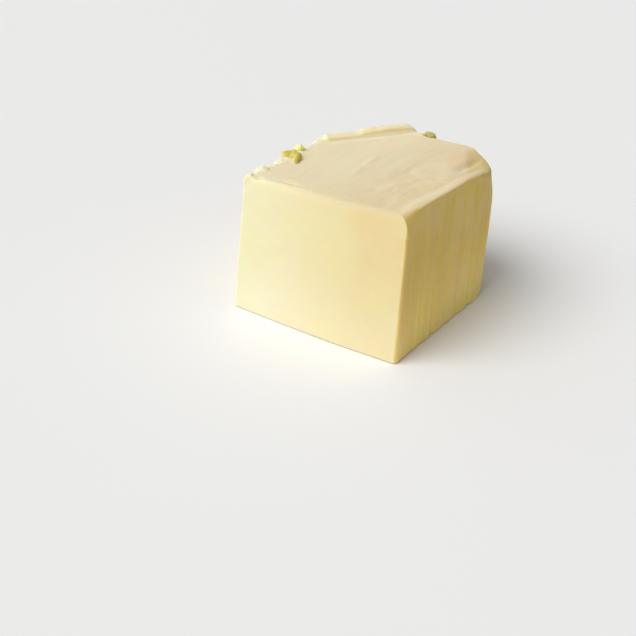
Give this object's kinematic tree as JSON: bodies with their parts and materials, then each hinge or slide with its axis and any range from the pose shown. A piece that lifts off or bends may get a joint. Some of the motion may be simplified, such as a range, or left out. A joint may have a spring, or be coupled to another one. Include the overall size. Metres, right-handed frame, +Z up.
{
  "type": "block of butter",
  "caption": "Rectangular block of butter with a clean cut front face, a sloping scraped top, worn edges and a scraped back corner.",
  "frame": {"origin": "on the base, under the middle of the block's box", "axes": "+Z up from the flat base, +Y from the cut front face to the back, +X across the width, to the right of someone who faces the cut"},
  "size_m": [0.0767, 0.096, 0.0638],
  "materials": {
    "butter": "smooth, soft, slightly greasy pale yellow butter"
  },
  "bodies": {
    "root": {"butter_block": "butter"}
  },
  "joints": []
}
